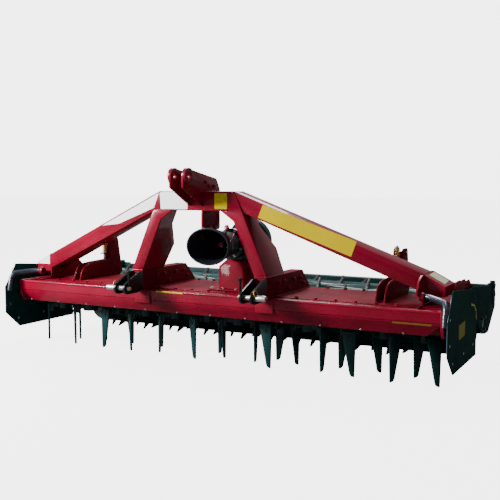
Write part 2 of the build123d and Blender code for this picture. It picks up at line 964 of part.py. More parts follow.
# Leveller brackets: paired cheeks with an arched foot, a tall post at the back and a tab in
# front of the post that guides the spindle
spindle_y = leveller_post_front - spring_radius - spring_gap
post_top = leveller_height - corner_cut
arch_outline = (
    (leveller_front, lid_top),
    *[(leveller_front + reach, leveller_arch - share * leveller_arch_drop) for reach, share in arch_points],
    (leveller_post_front, leveller_arch),
    (leveller_post_front, post_top),
    (leveller_post_front + corner_cut, leveller_height),
    (leveller_post_rear - corner_cut, leveller_height),
    (leveller_post_rear, post_top),
    (leveller_rear, leveller_rear_height),
    (lid_rear, lid_top),
)
with BuildPart() as leveller:
    for inner in (-leveller_gap / 2 - leveller_wall, leveller_gap / 2):
        add(cut_from_plate(arch_outline, leveller_x + inner, leveller_wall))
    with Locations((leveller_x, leveller_post_front + tab_wall, spring_seat)):
        Box(
            leveller_gap,
            tab_wall,
            post_top - spring_seat,
            align=(Align.CENTER, Align.MAX, Align.MIN),
        )
    with Locations((leveller_x, leveller_post_front, spring_seat)):
        Box(
            leveller_gap,
            2 * (leveller_post_front - spindle_y),
            tab_wall,
            align=(Align.CENTER, Align.MAX, Align.MAX),
        )
    with BuildSketch(Plane.XY.offset(spring_seat)):
        with Locations((leveller_x, spindle_y)):
            RegularPolygon(spindle_radius + pin_fit, spring_faces, major_radius=False)
    extrude(amount=-2 * tab_wall, mode=Mode.SUBTRACT)
    with BuildSketch(Plane.YZ.offset(leveller_x - leveller_gap / 2)):
        with Locations((hanger_pin_y, hanger_pin_z)):
            RegularPolygon(hanger_pin_radius, spring_faces)
    extrude(amount=leveller_gap)
store_both(leveller.part, "leveller_brackets")

# Leveller spindles: rods that stand on the lid between the cheeks, each with a stiff spring
# above its tab and a nut on top
spindle_steps = (
    # bottom, top, radius, faces
    (lid_top, leveller_height + spindle_reach, spindle_radius, spring_faces),
    (spring_seat, leveller_height, spring_radius, spring_faces),
    (leveller_height, leveller_height + nut_height, nut_radius, 6),
)
with BuildPart() as spindle:
    for bottom, top, radius, faces in spindle_steps:
        with BuildSketch(Plane.XY.offset(bottom)):
            with Locations((leveller_x, spindle_y)):
                RegularPolygon(radius, faces)
        extrude(amount=top - bottom)
store_both(spindle.part, "leveller_spindles")

# Levelling board: a stiff plank behind the rotors, hung from the brackets by two hangers
board_top = board_low + board_height
hanger_rear = board_y + board_wall / 2
hanger_front = hanger_rear - board_wall - hanger_wall
pin_lug = hanger_pin_radius + hanger_lug
hanger_outline = (
    (hanger_rear, board_top - board_wall),
    (hanger_rear, hanger_pin_z - pin_lug),
    (hanger_pin_y + pin_lug, hanger_pin_z + hanger_lug),
    (hanger_pin_y, hanger_pin_z + pin_lug),
    (hanger_pin_y - pin_lug, hanger_pin_z + hanger_lug),
    (hanger_pin_y - pin_lug, hanger_pin_z - hanger_lug),
    (hanger_front, hanger_pin_z - 2 * pin_lug),
    (hanger_front, board_top - board_wall),
)
with BuildPart() as board:
    with Locations((0, hanger_rear, board_low)):
        Box(2 * board_half, board_wall, board_height, align=(Align.CENTER, Align.MAX, Align.MIN))
    with Locations((0, hanger_rear - board_wall, board_top)):
        Box(2 * board_half, board_lip, board_wall, align=(Align.CENTER, Align.MIN, Align.MAX))
    for side in (-1, 1):
        with BuildSketch(Plane.YZ.offset(side * leveller_x - hanger_wall / 2)):
            with BuildLine():
                Polyline(*hanger_outline, close=True)
            make_face()
            with Locations((hanger_pin_y, hanger_pin_z)):
                RegularPolygon(
                    hanger_pin_radius + pin_fit,
                    spring_faces,
                    major_radius=False,
                    mode=Mode.SUBTRACT,
                )
        extrude(amount=hanger_wall)
store(board.part, "levelling_board")

# Roller: drum with rings of hooked claws, recessed ends and stub axles
claw_turn = 360 / claw_count
ring_count = int(2 * drum_half // ring_pitch)
ring_x = [ring_pitch * (ring - (ring_count - 1) / 2) for ring in range(ring_count)]


def ring_outline(turn):
    """Points of one ring of claws: steep side, tip and the long slope behind it."""
    foot = drum_radius - claw_root
    points = []
    for claw in range(claw_count):
        base = turn + claw * claw_turn
        for radius, angle in (
            (foot, base + claw_hook),
            (roller_radius, base),
            (foot, base + claw_slope),
        ):
            points.append((radius * cos(radians(angle)), radius * sin(radians(angle))))
    return points


with BuildPart() as drum:
    with BuildSketch(Plane.YZ.offset(-drum_half)):
        Circle(drum_radius)
    extrude(amount=2 * drum_half)
    for ring, x in enumerate(ring_x):
        with BuildSketch(Plane.YZ.offset(x - claw_wall / 2)):
            with BuildLine():
                Polyline(*ring_outline(ring * claw_advance), close=True)
            make_face()
    extrude(amount=claw_wall)
    for side in (-1, 1):
        with BuildSketch(Plane.YZ.offset(side * drum_half)):
            Circle(drum_radius - drum_wall)
        extrude(amount=-side * drum_recess, mode=Mode.SUBTRACT)
        with BuildSketch(Plane.YZ.offset(side * (drum_half - drum_recess))):
            Circle(axle_radius)
        extrude(amount=side * (arm_x + arm_wall - drum_half + drum_recess))
store(drum.part.moved(Location((0, roller_y, roller_radius))), "roller")

# Roller arms: end plates from the trough's pivots to the axle and the scraper tube
arm_outline = (
    (arm_pivot_y, arm_pivot_z + arm_eye_radius),
    (stop_pin_y - arm_rest_half - 2 * stop_pin_radius, arm_top_z - 2 * stop_pin_radius),
    (stop_pin_y - arm_rest_half, arm_top_z),
    (stop_pin_y + arm_rest_half, arm_top_z),
    (arm_post_front - 2 * corner_cut, arm_post_front_top - corner_cut),
    (arm_post_front, arm_post_front_top),
    (arm_rear, arm_post_top),
    (arm_rear, arm_post_low),
    *[(roller_y + reach, roller_radius + rise) for reach, rise in arm_belly],
    (arm_pivot_y, arm_pivot_z - arm_eye_radius),
)
with BuildPart() as arm:
    with BuildSketch(Plane.YZ.offset(arm_x)):
        with BuildLine():
            Polyline(*arm_outline, close=True)
        make_face()
        with Locations((arm_pivot_y, arm_pivot_z)):
            Circle(arm_eye_radius)
        with Locations((arm_pivot_y, arm_pivot_z)):
            Circle(pivot_pin_radius + shaft_fit, mode=Mode.SUBTRACT)
        with Locations((roller_y, roller_radius)):
            Circle(axle_radius + shaft_fit, mode=Mode.SUBTRACT)
    extrude(amount=arm_wall)
store_pair(arm.part, "roller_arm")

# Roller bearings: square flanged housings inside the arms
with BuildPart() as roller_bearing:
    with BuildSketch(Plane.YZ.offset(arm_x)):
        with Locations((roller_y, roller_radius)):
            Rectangle(2 * bearing_half, 2 * bearing_half)
            Circle(axle_radius + shaft_fit, mode=Mode.SUBTRACT)
    extrude(amount=-bearing_depth)
store_both(roller_bearing.part, "roller_bearings")

# Scraper beam: square tube behind the roller, a scraper in every second gap between the rings
scraper_width = ring_pitch - claw_wall - 2 * scraper_gap
scraper_x = [x + ring_pitch / 2 for x in ring_x[:-1:2]]
scraper_reach = drum_radius + scraper_gap
tip_y = roller_y + scraper_reach * cos(radians(scraper_angle))
tip_z = roller_radius + scraper_reach * sin(radians(scraper_angle))
tube_front = scraper_tube_y - scraper_tube / 2
tube_low = scraper_tube_z - scraper_tube / 2
scraper_outline = (
    (tip_y, tip_z),
    (tube_front - scraper_foot, tube_low),
    (tube_front, tube_low + scraper_foot),
    (tube_front, tube_low),
    (tip_y + scraper_wall, tip_z - scraper_wall / 2),
)
with BuildPart() as scraper_beam:
    with BuildSketch(Plane.YZ.offset(-arm_x)):
        with Locations((scraper_tube_y, scraper_tube_z)):
            Rectangle(scraper_tube, scraper_tube)
    extrude(amount=2 * arm_x)
    for x in scraper_x:
        with BuildSketch(Plane.YZ.offset(x - scraper_width / 2)):
            with BuildLine():
                Polyline(*scraper_outline, close=True)
            make_face()
    extrude(amount=scraper_width)
store(scraper_beam.part, "scraper_beam")

# Depth quadrants: notched plates on the end plates with the pins that stop the arms
quadrant_low = trough_top + end_rim / 2
quadrant_top = []
for front, rear, top in quadrant_bumps:
    quadrant_top += [
        (front - quadrant_notch, top - quadrant_notch),
        (front, top),
        (rear, top),
        (rear + quadrant_notch, top - quadrant_notch),
    ]
quadrant_outline = (
    (quadrant_front, quadrant_low),
    *quadrant_top,
    (quadrant_rear, arm_top_z - stop_pin_radius),
    (lid_rear, quadrant_low),
)
with BuildPart() as quadrant:
    quadrant_x = end_x - plate_wall
    add(cut_from_plate(quadrant_outline, quadrant_x, plate_wall))
    with BuildSketch(Plane.YZ.offset(quadrant_x)):
        with Locations((stop_pin_y, arm_top_z + stop_pin_radius + shaft_fit)):
            RegularPolygon(stop_pin_radius, pin_face_count)
    extrude(amount=plate_wall + arm_gap + arm_wall)
store_both(quadrant.part, "depth_quadrants")
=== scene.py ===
import bpy, json
from math import atan2, cos, pi, radians, sin
from mathutils import Matrix, Vector

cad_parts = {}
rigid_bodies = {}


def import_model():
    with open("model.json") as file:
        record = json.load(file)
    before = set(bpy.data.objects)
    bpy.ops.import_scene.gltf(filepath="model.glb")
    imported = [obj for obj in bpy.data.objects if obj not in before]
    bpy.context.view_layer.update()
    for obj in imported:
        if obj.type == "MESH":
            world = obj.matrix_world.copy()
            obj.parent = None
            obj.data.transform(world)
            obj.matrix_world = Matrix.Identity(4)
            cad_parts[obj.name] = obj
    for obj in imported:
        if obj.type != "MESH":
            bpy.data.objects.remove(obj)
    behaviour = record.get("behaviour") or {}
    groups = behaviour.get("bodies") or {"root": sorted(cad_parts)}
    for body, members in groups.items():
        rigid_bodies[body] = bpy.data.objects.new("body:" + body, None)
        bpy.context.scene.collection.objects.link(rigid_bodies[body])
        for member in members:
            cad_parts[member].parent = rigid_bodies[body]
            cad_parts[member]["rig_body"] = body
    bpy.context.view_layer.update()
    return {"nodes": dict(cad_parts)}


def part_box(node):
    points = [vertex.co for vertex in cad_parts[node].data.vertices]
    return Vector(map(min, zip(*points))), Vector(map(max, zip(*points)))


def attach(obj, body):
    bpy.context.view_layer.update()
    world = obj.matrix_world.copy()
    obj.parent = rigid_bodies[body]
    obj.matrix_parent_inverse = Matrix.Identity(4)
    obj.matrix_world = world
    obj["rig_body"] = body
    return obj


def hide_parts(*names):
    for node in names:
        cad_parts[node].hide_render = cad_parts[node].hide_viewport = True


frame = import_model()


# The stand: a pale floor, clear from below, that runs out of sight under a white surround, a broad
# key light from the front left, a weak one from behind, and the camera of the photograph.
def clear_selection():
    if bpy.context.object and bpy.context.object.mode != "OBJECT":
        bpy.ops.object.mode_set(mode="OBJECT")
    bpy.ops.object.select_all(action="DESELECT")
    for held in list(bpy.context.selected_objects):
        held.select_set(False)


def link(nodes, source, target):
    nodes.id_data.links.new(source, target)


def set_sockets(node, values):
    """Put the constants given on a node's sockets."""
    for socket, value in values.items():
        node.inputs[socket].default_value = value
    return node


def add_node(nodes, kind, values=None):
    """A new shader node with its constants on its sockets."""
    return set_sockets(nodes.new("ShaderNode" + kind), values or {})


floor_tone, floor_seen, sky_seen, sky_light = 0.16, 4.4, 4.8, 0.35
clear_selection()
bpy.ops.mesh.primitive_plane_add(size=120, location=(0, 0, 0))
floor = bpy.context.object
floor.name = "studio_floor"
floor_finish = bpy.data.materials.new("studio_floor")
floor_finish.use_nodes = True
floor_nodes = floor_finish.node_tree.nodes
floor_shader = set_sockets(floor_nodes["Principled BSDF"], {
    "Base Color": (floor_tone, floor_tone, floor_tone, 1),
    "Roughness": 0.9,
    "Specular IOR Level": 0.0,
    "Emission Color": (1, 1, 1, 1),
})
floor_rays = add_node(floor_nodes, "LightPath")
floor_glow = add_node(floor_nodes, "Math", {1: floor_seen})
floor_glow.operation = "MULTIPLY"
link(floor_nodes, floor_rays.outputs["Is Camera Ray"], floor_glow.inputs[0])
link(floor_nodes, floor_glow.outputs["Value"], floor_shader.inputs["Emission Strength"])
floor_face = add_node(floor_nodes, "NewGeometry")
clear_floor = add_node(floor_nodes, "BsdfTransparent")
floor_choice = add_node(floor_nodes, "MixShader")
link(floor_nodes, floor_face.outputs["Backfacing"], floor_choice.inputs["Fac"])
link(floor_nodes, floor_shader.outputs["BSDF"], floor_choice.inputs[1])
link(floor_nodes, clear_floor.outputs["BSDF"], floor_choice.inputs[2])
link(floor_nodes, floor_choice.outputs["Shader"], floor_nodes["Material Output"].inputs["Surface"])
floor.data.materials.append(floor_finish)

surround = bpy.data.worlds.new("studio_surround")
surround.use_nodes = True
bpy.context.scene.world = surround
sky = surround.node_tree.nodes
seen = add_node(sky, "Background", {"Color": (1, 1, 1, 1), "Strength": sky_seen})
set_sockets(sky["Background"], {"Color": (0.95, 0.97, 1, 1), "Strength": sky_light})
rays = add_node(sky, "LightPath")
choice = add_node(sky, "MixShader")
link(sky, rays.outputs["Is Camera Ray"], choice.inputs["Fac"])
link(sky, sky["Background"].outputs["Background"], choice.inputs[1])
link(sky, seen.outputs["Background"], choice.inputs[2])
link(sky, choice.outputs["Shader"], sky["World Output"].inputs["Surface"])

# Distances are in millimetres across the machine, behind the beam's face and above the ground.
beam_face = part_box("front_beam")[0][1]


def at(x, y, z):
    return Vector((x / 1000, beam_face + y / 1000, z / 1000))


def studio_light(kind, name, place, direction, energy):
    """A lamp at a place, turned to shine along a direction."""
    clear_selection()
    bpy.ops.object.light_add(type=kind, location=place)
    light = bpy.context.object
    light.name = name
    light.rotation_mode = "QUATERNION"
    light.rotation_quaternion = direction.to_track_quat("-Z", "Y")
    light.data.energy = energy
    return light.data


key_place, key_aim, key_power = at(-3700, -3500, 3000), at(-200, 200, 400), 980
studio_light("AREA", "key_light", key_place, key_aim - key_place, key_power).size = 1.6
back_place, back_aim, back_power = at(-1500, 3700, 5600), at(200, 600, 300), 520
studio_light("AREA", "back_light", back_place, back_aim - back_place, back_power).size = 3
top_place, top_way, top_strength = Vector((0, 0, 6)), Vector((0.1, -0.35, -1)), 1.3
studio_light("SUN", "top_light", top_place, top_way, top_strength).angle = radians(25)

camera_place, camera_tilt, camera_turn, camera_lens = at(2547, -4140, 1159), 85.167, 27.945, 55.59
clear_selection()
bpy.ops.object.camera_add(location=camera_place,
                          rotation=(radians(camera_tilt), 0, radians(camera_turn)))
camera = bpy.context.object
camera.name = "camera"
camera.data.lens = camera_lens
camera.data.sensor_width = 36
bpy.context.scene.camera = camera


# Gear trough: a folded steel casing with a box beam along its front, a lid of flat sheet and
# shallow end pans, welded, bolted and sprayed a deep glossy red.
def enamel(name, colour, shade, gloss, coat=0.3, peel=0.05, edge=(0.35, 0.3, 0.28), wear=0.3,
           specular=0.1, metallic=0.0):
    """Sprayed paint over steel: uneven depth of colour, orange peel and rubbed edges."""
    finish = bpy.data.materials.new(name)
    finish.use_nodes = True
    nodes = finish.node_tree.nodes
    shader = set_sockets(nodes["Principled BSDF"], {
        "Coat Weight": coat,
        "Coat Roughness": 0.08,
        "Specular IOR Level": specular,
        "Metallic": metallic,
    })
    place = add_node(nodes, "TexCoord")
    cloud = add_node(nodes, "TexNoise", {"Scale": 3.5, "Detail": 6, "Roughness": 0.62})
    link(nodes, place.outputs["Object"], cloud.inputs["Vector"])
    spread = add_node(nodes, "MapRange", {"From Min": 0.36, "From Max": 0.66})
    link(nodes, cloud.outputs["Fac"], spread.inputs["Value"])
    depth = add_node(nodes, "Mix")
    depth.data_type = "RGBA"
    set_sockets(depth, {"A": (*colour, 1), "B": (*shade, 1)})
    link(nodes, spread.outputs["Result"], depth.inputs["Factor"])
    bevel = add_node(nodes, "Bevel", {"Radius": 0.004})
    bevel.samples = 4
    surface = add_node(nodes, "NewGeometry")
    turn = add_node(nodes, "VectorMath")
    turn.operation = "DOT_PRODUCT"
    link(nodes, bevel.outputs["Normal"], turn.inputs[0])
    link(nodes, surface.outputs["Normal"], turn.inputs[1])
    rubbed = add_node(nodes, "MapRange", {"From Min": 0.93, "From Max": 0.75})
    link(nodes, turn.outputs["Value"], rubbed.inputs["Value"])
    chips = add_node(nodes, "TexNoise", {"Scale": 42, "Detail": 4})
    link(nodes, place.outputs["Object"], chips.inputs["Vector"])
    patchy = add_node(nodes, "MapRange", {"From Min": 0.5, "From Max": 0.7, "To Max": wear})
    link(nodes, chips.outputs["Fac"], patchy.inputs["Value"])
    bare = add_node(nodes, "Math")
    bare.operation = "MULTIPLY"
    link(nodes, rubbed.outputs["Result"], bare.inputs[0])
    link(nodes, patchy.outputs["Result"], bare.inputs[1])
    worn = add_node(nodes, "Mix")
    worn.data_type = "RGBA"
    set_sockets(worn, {"B": (*edge, 1)})
    link(nodes, bare.outputs["Value"], worn.inputs["Factor"])
    link(nodes, depth.outputs["Result"], worn.inputs["A"])
    link(nodes, worn.outputs["Result"], shader.inputs["Base Color"])
    sheen = add_node(nodes, "MapRange", {"To Min": gloss, "To Max": gloss + 0.2})
    link(nodes, cloud.outputs["Fac"], sheen.inputs["Value"])
    link(nodes, sheen.outputs["Result"], shader.inputs["Roughness"])
    grain = add_node(nodes, "TexNoise", {"Scale": 160, "Detail": 2})
    link(nodes, place.outputs["Object"], grain.inputs["Vector"])
    bump = add_node(nodes, "Bump", {"Strength": peel, "Distance": 0.002})
    link(nodes, grain.outputs["Fac"], bump.inputs["Height"])
    link(nodes, bump.outputs["Normal"], shader.inputs["Normal"])
    return finish


def ground_edges(piece, edge):
    """Round the piece's sharp corners by a small bevel and smooth what is left."""
    if edge:
        rounding = piece.modifiers.new("corners", "BEVEL")
        rounding.width = edge
        rounding.segments = 2
        rounding.limit_method = "ANGLE"
        rounding.angle_limit = radians(38)
        rounding.use_clamp_overlap = True
        bpy.ops.object.modifier_apply(modifier="corners")
    bpy.ops.object.shade_smooth_by_angle(angle=radians(35))


def open_faces(piece, chosen):
    """Open the active piece in edit mode with only the faces whose normal is chosen selected."""
    bpy.ops.object.mode_set(mode="EDIT")
    bpy.ops.mesh.select_all(action="DESELECT")
    bpy.ops.object.mode_set(mode="OBJECT")
    for face in piece.data.polygons:
        face.select = chosen(face.normal)
    bpy.ops.object.mode_set(mode="EDIT")


def upward(normal):
    return normal.z > 0.9


def downward(normal):
    return normal.z < -0.9


def endward(normal):
    return abs(normal.z) > 0.9


def raise_faces(rise):
    bpy.ops.mesh.extrude_region_move(TRANSFORM_OT_translate={"value": (0, 0, rise)})


def join(parts, name):
    """Join the parts into the first of them, under its new name."""
    clear_selection()
    for part in parts:
        part.select_set(True)
    bpy.context.view_layer.objects.active = parts[0]
    if len(parts) > 1:
        bpy.ops.object.join()
    parts[0].name = name
    return parts[0]


def dress(node, finish, edge=0.002):
    """A merged copy of a CAD piece with its corners ground round, shown in the piece's place."""
    clear_selection()
    source = frame["nodes"][node]
    piece = bpy.data.objects.new(node + "_shown", source.data.copy())
    bpy.context.scene.collection.objects.link(piece)
    piece.data.materials.clear()
    piece.data.materials.append(finish)
    bpy.context.view_layer.objects.active = piece
    piece.select_set(True)
    bpy.ops.object.mode_set(mode="EDIT")
    bpy.ops.mesh.select_all(action="SELECT")
    bpy.ops.mesh.remove_doubles(threshold=0.00001)
    bpy.ops.mesh.dissolve_limited(angle_limit=radians(0.5))
    bpy.ops.object.mode_set(mode="OBJECT")
    ground_edges(piece, edge)
    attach(piece, source["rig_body"])
    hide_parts(node)
    return piece


def seat(piece, finish, body, node=None):
    """Settle a finished piece: place into its mesh, its finish, and the body that carries it."""
    clear_selection()
    bpy.context.view_layer.objects.active = piece
    piece.select_set(True)
    bpy.ops.object.transform_apply(location=True, rotation=True, scale=True)
    piece.data.materials.clear()
    piece.data.materials.append(finish)
    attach(piece, body)
    if node:
        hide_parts(node)
    return piece


def spread_out(pattern, name, places):
    """Copies of a finished pattern at each place, given as matrices, joined into one piece."""
    copies = []
    for place in places:
        copy = bpy.data.objects.new(name, pattern.data.copy())
        bpy.context.scene.collection.objects.link(copy)
        copy.data.transform(place)
        copies.append(copy)
    bpy.data.objects.remove(pattern)
    return join(copies, name)


def facing(place, normal):
    """The matrix that stands a pattern at a place with its axis along the normal."""
    return Matrix.Translation(place) @ Vector(normal).to_track_quat("Z", "Y").to_matrix().to_4x4()


def bolts(name, places, across, finish, body="root"):
    """Hexagon heads on washers, one modelled and copied to every (place, normal)."""
    washer_radius, washer_thick = across * 0.78, across * 0.12
    corner_radius, height = across * 0.577, across * 0.42
    clear_selection()
    bpy.ops.mesh.primitive_cylinder_add(vertices=20, radius=washer_radius, depth=washer_thick,
                                        location=(0, 0, across * 0.06))
    washer = bpy.context.object
    bpy.ops.mesh.primitive_cylinder_add(vertices=6, radius=corner_radius, depth=height,
                                        location=(0, 0, washer_thick + height / 2))
    head = bpy.context.object
    open_faces(head, upward)
    bpy.ops.mesh.inset(thickness=across * 0.06, depth=across * 0.05)
    bpy.ops.object.mode_set(mode="OBJECT")
    join([head, washer], "bolt_pattern")
    bpy.ops.object.transform_apply(location=True, rotation=True, scale=True)
    piece = spread_out(head, name, [facing(place, normal) for place, normal in places])
    return seat(piece, finish, body)


def welds(name, runs, size):
    """Weld beads laid in corners from start to end, rippled crosswise, joined into one piece."""
    beads = []
    for start, end in runs:
        clear_selection()
        length = (end - start).length
        bpy.ops.mesh.primitive_cylinder_add(vertices=8, radius=size, depth=length)
        bead = bpy.context.object
        cuts = min(max(2, int(length / (size * 1.6))), 60)
        bpy.ops.object.mode_set(mode="EDIT")
        for step in range(1, cuts):
            bpy.ops.mesh.select_all(action="SELECT")
            bpy.ops.mesh.bisect(plane_co=(0, 0, length * (step / cuts - 0.5)), plane_no=(0, 0, 1))
        bpy.ops.object.mode_set(mode="OBJECT")
        for vertex in bead.data.vertices:
            swell = 1 + 0.16 * sin(vertex.co.z * 2 * pi / (size * 3.1))
            vertex.co.x *= swell
            vertex.co.y *= swell
        bead.data.transform(facing((start + end) / 2, end - start))
        bpy.ops.object.shade_smooth_by_angle(angle=radians(60))
        beads.append(bead)
    return seat(join(beads, name), red, "root")


def plate_label(name, corners, normal, finish, body="root", corner=0.004):
    """A blank film label on a flat face: four corners, lifted by its own thickness."""
    lift, film = 0.0003, 0.0007
    clear_selection()
    bpy.ops.mesh.primitive_plane_add(size=1)
    piece = bpy.context.object
    piece.name = name
    normal = Vector(normal).normalized()
    for vertex, corner_place in zip((0, 1, 3, 2), corners):
        piece.data.vertices[vertex].co = corner_place + normal * lift
    bpy.ops.object.mode_set(mode="EDIT")
    bpy.ops.mesh.select_all(action="SELECT")
    bpy.ops.mesh.bevel(offset=corner, segments=3, affect="VERTICES")
    bpy.ops.mesh.extrude_region_move(TRANSFORM_OT_translate={"value": normal * film})
    bpy.ops.mesh.select_all(action="SELECT")
    bpy.ops.mesh.normals_make_consistent(inside=False)
    bpy.ops.object.mode_set(mode="OBJECT")
    return seat(piece, finish, body)


red = enamel("red_enamel", (0.2, 0.0008, 0.017), (0.135, 0.0006, 0.010), 0.25)
# A rougher copy of the red enamel for the lid, feet, turret, leveller posts and quadrants. Its
# bumps and roughness are the paint's own, but its darker colour is painted shade on parts of the
# same red paint.
shaded_rough_red = enamel("red_rough_enamel_painted_shade", (0.15, 0.0007, 0.011), (0.085, 0.0005, 0.006), 0.5, 0.06,
                  peel=0.9, specular=0.05)
steel = enamel("zinc_plated_steel", (0.5, 0.5, 0.5), (0.36, 0.36, 0.35), 0.3, 0.0, wear=0.1,
               specular=0.5, metallic=1)
for node in ("trough_body", "trough_ends", "beam_doublers"):
    dress(node, red, 0.003)
dress("trough_lid", shaded_rough_red, 0.003)
dress("front_beam", red, 0.003)
roll_radius, beam_length = 0.009, 3.036
clear_selection()
bpy.ops.mesh.primitive_cylinder_add(vertices=24, radius=roll_radius, depth=beam_length,
                                    location=at(0, 7, 464), rotation=(0, radians(90), 0))
rolled_edge = bpy.context.object
rolled_edge.name = "beam_rolled_edge"
open_faces(rolled_edge, endward)
bpy.ops.mesh.inset(thickness=0.002, depth=0.001)
bpy.ops.object.mode_set(mode="OBJECT")
ground_edges(rolled_edge, 0)
seat(rolled_edge, red, "root")

lid_top, lid_bolt_pitch = 476, 125
front_row, front_room, front_obstacles = 86, 70, (451, 1376)
rear_row, rear_room, rear_obstacles = 584, 60, (451, 1130)
lid_bolts = []
for number in range(-11, 12):
    across = number * lid_bolt_pitch
    if min(abs(abs(across) - middle) for middle in front_obstacles) > front_room:
        lid_bolts.append((at(across, front_row, lid_top), (0, 0, 1)))
    if min(abs(abs(across) - middle) for middle in rear_obstacles) > rear_room:
        lid_bolts.append((at(across, rear_row, lid_top), (0, 0, 1)))
bolts("lid_bolts", lid_bolts, 0.018, red)
rotor_pitch = 250
slope = Vector((0, -77, -31))  # outwards from the casing's sloping front wall
edge_bolts = [(at(number * rotor_pitch + 62, 8, 336), slope) for number in range(-6, 6)]
bolts("lower_edge_bolts", edge_bolts, 0.008, steel)
end_face = 1528
end_holes = ((60, 440), (180, 450), (300, 450), (420, 450), (520, 430), (60, 370), (300, 352),
             (480, 352))
end_bolts = [(at(side * end_face, back, up), (side, 0, 0))
             for side in (-1, 1) for back, up in end_holes]
bolts("end_plate_bolts", end_bolts, 0.016, red)
doubler_inner, doubler_outer, doubler_low, doubler_high = 391, 512, 384, 470
trough_welds = []
for side in (-1, 1):
    trough_welds += [
        (at(side * 392, -1, doubler_high), at(side * doubler_outer, -1, doubler_high)),
        (at(side * doubler_inner, -3, doubler_low), at(side * doubler_inner, -3, 468)),
        (at(side * doubler_outer, -3, doubler_low), at(side * doubler_outer, -3, 468)),
    ]
welds("trough_welds", trough_welds, 0.003)


# Bearing housings: turned castings bolted under the trough, one round each rotor's shaft.
# Flange, body and bore are turned about the shaft's axis, and eight bolts hold each flange.
housing_radius, flange_radius, bore_radius = 0.062, 0.085, 0.0303
housing_top, housing_low, flange_thick = 0.325, 0.293, 0.010
bolt_circle, bolt_level = 0.0735, 0.315
rotor_places = [at(rotor_pitch * (number - 6.5), 280, 0) for number in range(1, 13)]
clear_selection()
bpy.ops.mesh.primitive_cylinder_add(vertices=40, radius=flange_radius, depth=flange_thick,
                                    location=(0, 0, housing_top - 0.005))
housing = bpy.context.object
bpy.ops.object.transform_apply(location=True)
open_faces(housing, downward)
bpy.ops.mesh.inset(thickness=flange_radius - housing_radius)
raise_faces(housing_low - housing_top + flange_thick)
bpy.ops.mesh.inset(thickness=housing_radius - bore_radius)
raise_faces(housing_top - housing_low - 0.002)
bpy.ops.object.mode_set(mode="OBJECT")
ground_edges(housing, 0.0015)
housing = spread_out(housing, "bearing_housings_shown",
                     [Matrix.Translation(place) for place in rotor_places])
seat(housing, red, "root", "bearing_housings")
housing_bolts = []
for place in rotor_places:
    for step in range(8):
        turn = radians(22.5 + 45 * step)
        offset = Vector((bolt_circle * cos(turn), bolt_circle * sin(turn), bolt_level))
        housing_bolts.append((place + offset, (0, 0, -1)))
bolts("housing_bolts", housing_bolts, 0.012, steel)


# Rotors: forged carriers on short shafts, each with two lugs to which knife tines are bolted;
# black-green paint, with the tines' lower ends rubbed by the soil.
green = enamel("dark_green_enamel", (0.0035, 0.028, 0.027), (0.002, 0.016, 0.016), 0.26, 0.25)
blade = enamel("tine_steel", (0.004, 0.034, 0.034), (0.0025, 0.02, 0.021), 0.3, 0.25,
               edge=(0.12, 0.16, 0.16), wear=0.7)
rotor_turns = (27, 62, 61, 61, 26, 79, 175, 107, 150, 135, 120, 144)
blade_lean, blade_face, carrier_top = 16.75, 0.1205, 0.288
hub_radius, hub_depth, shaft_radius, shaft_length = 0.052, 0.046, 0.030, 0.035
carrier_bars = (
    # size, middle: the crossbar and a lug at each of its ends
    ((0.211, 0.064, 0.032), (0, 0, carrier_top - 0.016)),
    ((0.026, 0.070, 0.060), (0.0925, 0, carrier_top - 0.030)),
    ((0.026, 0.070, 0.060), (-0.0925, 0, carrier_top - 0.030)),
)
for number, (place, turn) in enumerate(zip(rotor_places, rotor_turns), start=1):
    clear_selection()
    bpy.ops.mesh.primitive_cylinder_add(vertices=40, radius=hub_radius, depth=hub_depth,
                                        location=(0, 0, carrier_top - hub_depth / 2))
    hub = bpy.context.object
    bpy.ops.object.transform_apply(location=True)
    open_faces(hub, downward)
    bpy.ops.mesh.inset(thickness=0.012)
    bpy.ops.mesh.inset(thickness=0.004, depth=-0.006)
    bpy.ops.object.mode_set(mode="OBJECT")
    parts = [hub]
    for size, middle in carrier_bars:
        bpy.ops.mesh.primitive_cube_add(size=1, location=middle)
        bar = bpy.context.object
        bar.scale = size
        bpy.ops.object.transform_apply(location=True, scale=True)
        bpy.ops.object.mode_set(mode="EDIT")
        bpy.ops.mesh.select_all(action="SELECT")
        bpy.ops.mesh.bevel(offset=0.005, segments=2, affect="EDGES")
        bpy.ops.object.mode_set(mode="OBJECT")
        parts.append(bar)
    bpy.ops.mesh.primitive_cylinder_add(vertices=32, radius=shaft_radius, depth=shaft_length,
                                        location=(0, 0, carrier_top + shaft_length / 2))
    parts.append(bpy.context.object)
    for side in (-1, 1):
        for up in (0.270, 0.241):
            bpy.ops.mesh.primitive_cylinder_add(vertices=6, radius=0.012, depth=0.006,
                                                location=(side * (blade_face + 0.0015), 0, up),
                                                rotation=(0, radians(90), 0))
            parts.append(bpy.context.object)
    name = f"rotor_{number:02d}"
    rotor = join(parts, name + "_shown")
    bpy.ops.object.transform_apply(location=True, rotation=True, scale=True)
    bpy.ops.object.shade_smooth_by_angle(angle=radians(35))
    hand = 1 if number % 2 == 0 else -1  # neighbours turn opposite ways
    stopped = Matrix.Rotation(radians(turn - blade_lean * hand), 4, "Z")
    rotor.data.transform(Matrix.Translation(place) @ stopped)
    seat(rotor, green, name, name)
    dress(f"tines_{number:02d}", blade, 0.004)


